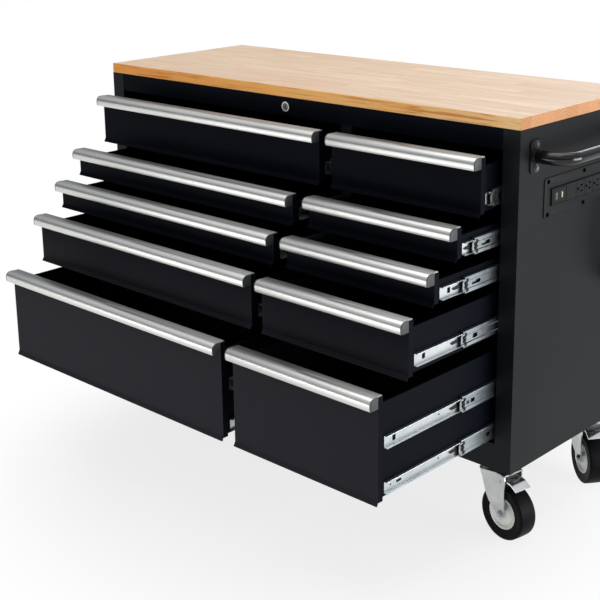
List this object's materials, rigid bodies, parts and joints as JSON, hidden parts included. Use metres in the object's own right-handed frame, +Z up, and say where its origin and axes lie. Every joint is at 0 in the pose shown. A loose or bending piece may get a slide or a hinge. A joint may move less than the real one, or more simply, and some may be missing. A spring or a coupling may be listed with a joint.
{
  "type": "rolling tool cabinet",
  "caption": "Wide rolling steel tool cabinet with a wood worktop, open drawers on telescopic runners, full-width pulls, a side push handle and a side power panel.",
  "frame": {"origin": "on the floor below the middle of the cabinet with its drawers open as in the picture", "axes": "+X along the cabinet towards the push handle, +Y to the back, +Z up; the drawers open towards -Y"},
  "size_m": [1.409, 0.9124, 0.97],
  "materials": {
    "black_steel": "satin powder coat",
    "wood_top": "satin lacquer",
    "satin_aluminium": "satin",
    "runner_steel": "zinc plated",
    "lock_metal": "polished",
    "bolt_steel": "zinc plated",
    "fork_steel": "zinc plated",
    "black_plastic": "fine texture",
    "red_switch": "gloss",
    "cord_rubber": "matt",
    "wheel_rubber": "matt"
  },
  "bodies": {
    "cabinet": {"worktop": "wood_top", "left_side_panel": "black_steel", "right_side_panel": "black_steel", "back_panel": "black_steel", "base_pan": "black_steel", "front_rail": "black_steel", "centre_divider": "black_steel", "cabinet_runners": "runner_steel", "lock_cylinder": "lock_metal", "push_handle": "black_steel", "handle_bolts": "bolt_steel", "power_panel": "black_plastic", "outlet_module": "black_plastic", "caster_plates": "fork_steel", "rigid_caster_forks": "fork_steel", "cord_hook": "black_steel", "cord_grip": "cord_rubber", "power_cord_lead": "cord_rubber", "power_cord_coil": "cord_rubber", "power_plug": "cord_rubber"},
    "left_drawer_1": {"left_drawer_1_tray": "black_steel", "left_drawer_1_pull_and_runners": "satin_aluminium"},
    "left_drawer_1_middle": {"left_drawer_1_mid_runners": "runner_steel"},
    "left_drawer_2": {"left_drawer_2_tray": "black_steel", "left_drawer_2_pull_and_runners": "satin_aluminium"},
    "left_drawer_2_middle": {"left_drawer_2_mid_runners": "runner_steel"},
    "left_drawer_3": {"left_drawer_3_tray": "black_steel", "left_drawer_3_pull_and_runners": "satin_aluminium"},
    "left_drawer_3_middle": {"left_drawer_3_mid_runners": "runner_steel"},
    "left_drawer_4": {"left_drawer_4_tray": "black_steel", "left_drawer_4_pull_and_runners": "satin_aluminium"},
    "left_drawer_4_middle": {"left_drawer_4_mid_runners": "runner_steel"},
    "left_drawer_5": {"left_drawer_5_tray": "black_steel", "left_drawer_5_pull_and_runners": "satin_aluminium"},
    "left_drawer_5_middle": {"left_drawer_5_mid_runners": "runner_steel"},
    "right_drawer_1": {"right_drawer_1_tray": "black_steel", "right_drawer_1_pull_and_runners": "satin_aluminium"},
    "right_drawer_1_middle": {"right_drawer_1_mid_runners": "runner_steel"},
    "right_drawer_2": {"right_drawer_2_tray": "black_steel", "right_drawer_2_pull_and_runners": "satin_aluminium"},
    "right_drawer_2_middle": {"right_drawer_2_mid_runners": "runner_steel"},
    "right_drawer_3": {"right_drawer_3_tray": "black_steel", "right_drawer_3_pull_and_runners": "satin_aluminium"},
    "right_drawer_3_middle": {"right_drawer_3_mid_runners": "runner_steel"},
    "right_drawer_4": {"right_drawer_4_tray": "black_steel", "right_drawer_4_pull_and_runners": "satin_aluminium"},
    "right_drawer_4_middle": {"right_drawer_4_mid_runners": "runner_steel"},
    "right_drawer_5": {"right_drawer_5_tray": "black_steel", "right_drawer_5_pull_and_runners": "satin_aluminium"},
    "right_drawer_5_middle": {"right_drawer_5_mid_runners": "runner_steel"},
    "front_swivel": {"front_swivel_fork": "fork_steel"},
    "front_right_wheel": {"front_right_wheel": "wheel_rubber"},
    "front_pedal": {"front_brake_pedal": "fork_steel"},
    "front_left_wheel": {"front_left_wheel": "wheel_rubber"},
    "rear_swivel": {"rear_swivel_fork": "fork_steel"},
    "rear_right_wheel": {"rear_right_wheel": "wheel_rubber"},
    "rear_pedal": {"rear_brake_pedal": "fork_steel"},
    "rear_left_wheel": {"rear_left_wheel": "wheel_rubber"},
    "lock": {"lock_plug": "lock_metal"},
    "rocker": {"rocker_switch": "red_switch"}
  },
  "joints": [
    {"name": "left_drawer_1_slide", "type": "slide", "parent": "cabinet", "child": "left_drawer_1", "axis": [0, -1, 0], "range_m": [-0.072, 0.328]},
    {"name": "left_drawer_1_middle_slide", "type": "slide", "parent": "cabinet", "child": "left_drawer_1_middle", "axis": [0, -1, 0], "range_m": [-0.05184, 0.23616]},
    {"name": "left_drawer_2_slide", "type": "slide", "parent": "cabinet", "child": "left_drawer_2", "axis": [0, -1, 0], "range_m": [-0.161, 0.239]},
    {"name": "left_drawer_2_middle_slide", "type": "slide", "parent": "cabinet", "child": "left_drawer_2_middle", "axis": [0, -1, 0], "range_m": [-0.12075, 0.17925]},
    {"name": "left_drawer_3_slide", "type": "slide", "parent": "cabinet", "child": "left_drawer_3", "axis": [0, -1, 0], "range_m": [-0.224, 0.176]},
    {"name": "left_drawer_3_middle_slide", "type": "slide", "parent": "cabinet", "child": "left_drawer_3_middle", "axis": [0, -1, 0], "range_m": [-0.14336, 0.11264]},
    {"name": "left_drawer_4_slide", "type": "slide", "parent": "cabinet", "child": "left_drawer_4", "axis": [0, -1, 0], "range_m": [-0.297, 0.103]},
    {"name": "left_drawer_4_middle_slide", "type": "slide", "parent": "cabinet", "child": "left_drawer_4_middle", "axis": [0, -1, 0], "range_m": [-0.14108, 0.04893]},
    {"name": "left_drawer_5_slide", "type": "slide", "parent": "cabinet", "child": "left_drawer_5", "axis": [0, -1, 0], "range_m": [-0.393, 0.007]},
    {"name": "left_drawer_5_middle_slide", "type": "slide", "parent": "cabinet", "child": "left_drawer_5_middle", "axis": [0, -1, 0], "range_m": [-0.14227, 0.00253]},
    {"name": "right_drawer_1_slide", "type": "slide", "parent": "cabinet", "child": "right_drawer_1", "axis": [0, -1, 0], "range_m": [-0.07, 0.33]},
    {"name": "right_drawer_1_middle_slide", "type": "slide", "parent": "cabinet", "child": "right_drawer_1_middle", "axis": [0, -1, 0], "range_m": [-0.0504, 0.2376]},
    {"name": "right_drawer_2_slide", "type": "slide", "parent": "cabinet", "child": "right_drawer_2", "axis": [0, -1, 0], "range_m": [-0.147, 0.253]},
    {"name": "right_drawer_2_middle_slide", "type": "slide", "parent": "cabinet", "child": "right_drawer_2_middle", "axis": [0, -1, 0], "range_m": [-0.11025, 0.18975]},
    {"name": "right_drawer_3_slide", "type": "slide", "parent": "cabinet", "child": "right_drawer_3", "axis": [0, -1, 0], "range_m": [-0.22, 0.18]},
    {"name": "right_drawer_3_middle_slide", "type": "slide", "parent": "cabinet", "child": "right_drawer_3_middle", "axis": [0, -1, 0], "range_m": [-0.1408, 0.1152]},
    {"name": "right_drawer_4_slide", "type": "slide", "parent": "cabinet", "child": "right_drawer_4", "axis": [0, -1, 0], "range_m": [-0.3, 0.1]},
    {"name": "right_drawer_4_middle_slide", "type": "slide", "parent": "cabinet", "child": "right_drawer_4_middle", "axis": [0, -1, 0], "range_m": [-0.1425, 0.0475]},
    {"name": "right_drawer_5_slide", "type": "slide", "parent": "cabinet", "child": "right_drawer_5", "axis": [0, -1, 0], "range_m": [-0.392, 0.008]},
    {"name": "right_drawer_5_middle_slide", "type": "slide", "parent": "cabinet", "child": "right_drawer_5_middle", "axis": [0, -1, 0], "range_m": [-0.1419, 0.0029]},
    {"name": "front_swivel_turn", "type": "hinge", "parent": "cabinet", "child": "front_swivel", "pos_m": [0.5475, 0.0235, 0.167], "axis": [0, 0, 1], "continuous": true},
    {"name": "front_right_wheel_spin", "type": "hinge", "parent": "front_swivel", "child": "front_right_wheel", "pos_m": [0.57901, 0.01794, 0.0635], "axis": [0.1736, 0.9848, 0], "continuous": true},
    {"name": "front_pedal_press", "type": "hinge", "parent": "front_swivel", "child": "front_pedal", "pos_m": [0.57803, 0.01812, 0.143], "axis": [0.1736, 0.9848, 0], "range_deg": [0, 10]},
    {"name": "front_left_wheel_spin", "type": "hinge", "parent": "cabinet", "child": "front_left_wheel", "pos_m": [-0.6365, 0.0235, 0.0635], "axis": [0, 1, 0], "continuous": true},
    {"name": "rear_swivel_turn", "type": "hinge", "parent": "cabinet", "child": "rear_swivel", "pos_m": [0.5475, 0.3935, 0.167], "axis": [0, 0, 1], "continuous": true},
    {"name": "rear_right_wheel_spin", "type": "hinge", "parent": "rear_swivel", "child": "rear_right_wheel", "pos_m": [0.57322, 0.37447, 0.0635], "axis": [0.5948, 0.8039, 0], "continuous": true},
    {"name": "rear_pedal_press", "type": "hinge", "parent": "rear_swivel", "child": "rear_pedal", "pos_m": [0.57242, 0.37506, 0.143], "axis": [0.5948, 0.8039, 0], "range_deg": [0, 10]},
    {"name": "rear_left_wheel_spin", "type": "hinge", "parent": "cabinet", "child": "rear_left_wheel", "pos_m": [-0.6365, 0.3935, 0.0635], "axis": [0, 1, 0], "continuous": true},
    {"name": "lock_turn", "type": "hinge", "parent": "cabinet", "child": "lock", "pos_m": [-0.0445, -0.0365, 0.922], "axis": [0, -1, 0], "range_deg": [0, 90]},
    {"name": "rocker_tip", "type": "hinge", "parent": "cabinet", "child": "rocker", "pos_m": [0.6175, 0.3295, 0.7835], "axis": [0, 1, 0], "range_deg": [-16, 0]}
  ],
  "couplings": [
    {"joint": "left_drawer_1_middle_slide", "follows": "left_drawer_1_slide", "ratio": 0.72},
    {"joint": "left_drawer_2_middle_slide", "follows": "left_drawer_2_slide", "ratio": 0.75},
    {"joint": "left_drawer_3_middle_slide", "follows": "left_drawer_3_slide", "ratio": 0.64},
    {"joint": "left_drawer_4_middle_slide", "follows": "left_drawer_4_slide", "ratio": 0.475},
    {"joint": "left_drawer_5_middle_slide", "follows": "left_drawer_5_slide", "ratio": 0.362},
    {"joint": "right_drawer_1_middle_slide", "follows": "right_drawer_1_slide", "ratio": 0.72},
    {"joint": "right_drawer_2_middle_slide", "follows": "right_drawer_2_slide", "ratio": 0.75},
    {"joint": "right_drawer_3_middle_slide", "follows": "right_drawer_3_slide", "ratio": 0.64},
    {"joint": "right_drawer_4_middle_slide", "follows": "right_drawer_4_slide", "ratio": 0.475},
    {"joint": "right_drawer_5_middle_slide", "follows": "right_drawer_5_slide", "ratio": 0.362}
  ]
}
